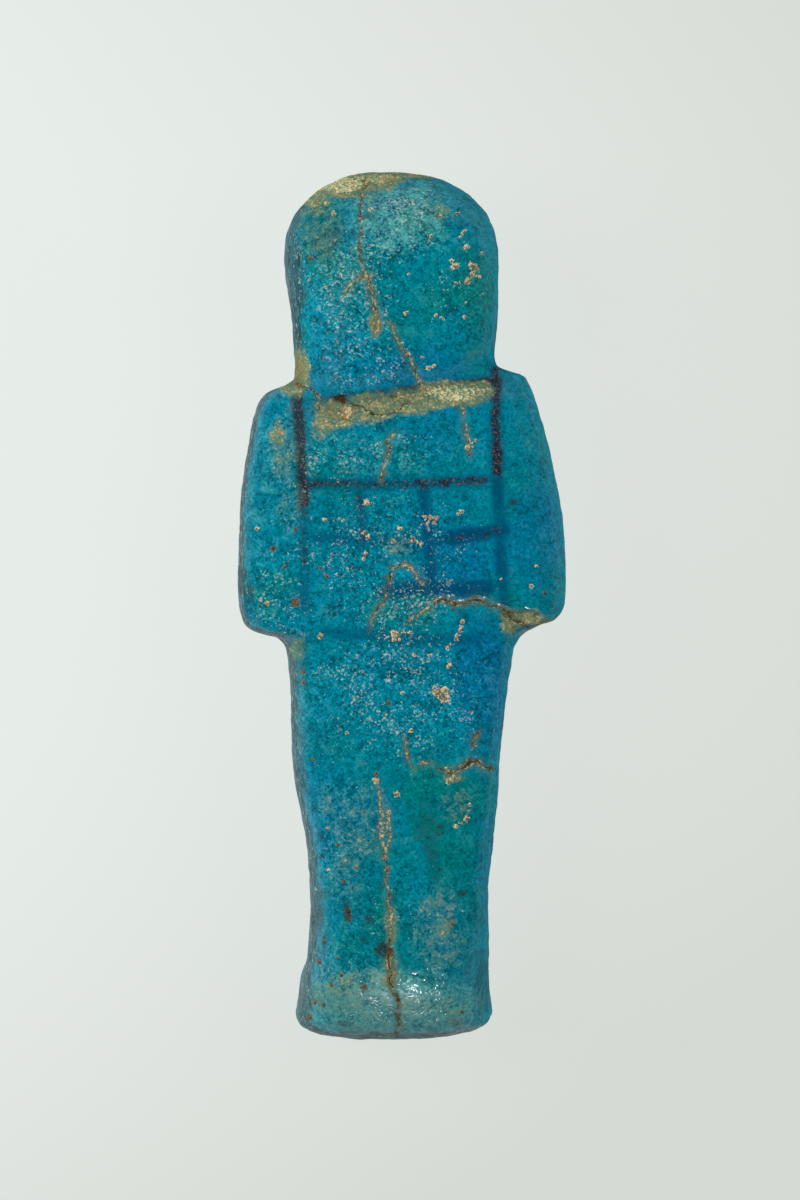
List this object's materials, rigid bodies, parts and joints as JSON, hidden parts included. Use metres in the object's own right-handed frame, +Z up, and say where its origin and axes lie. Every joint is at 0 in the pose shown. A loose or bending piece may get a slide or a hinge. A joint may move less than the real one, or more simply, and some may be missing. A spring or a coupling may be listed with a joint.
{
  "type": "ushabti figurine",
  "caption": "Mummiform servant figurine of turquoise glazed quartz paste, lying on its front with its painted flat back upward.",
  "frame": {"origin": "under the middle of the figure's bounding box, on the surface that it lies on", "axes": "+Y along the figure to its crown, +Z up out of its flat back, +X to the right when it is seen from behind with the crown at the top"},
  "size_m": [0.0412, 0.11, 0.0282],
  "materials": {
    "glazed_faience": "glossy turquoise alkaline glaze over pale quartz paste, pitted and crazed, with dark manganese painting and tan weathered patches"
  },
  "bodies": {
    "root": {"figure": "glazed_faience"}
  },
  "joints": []
}
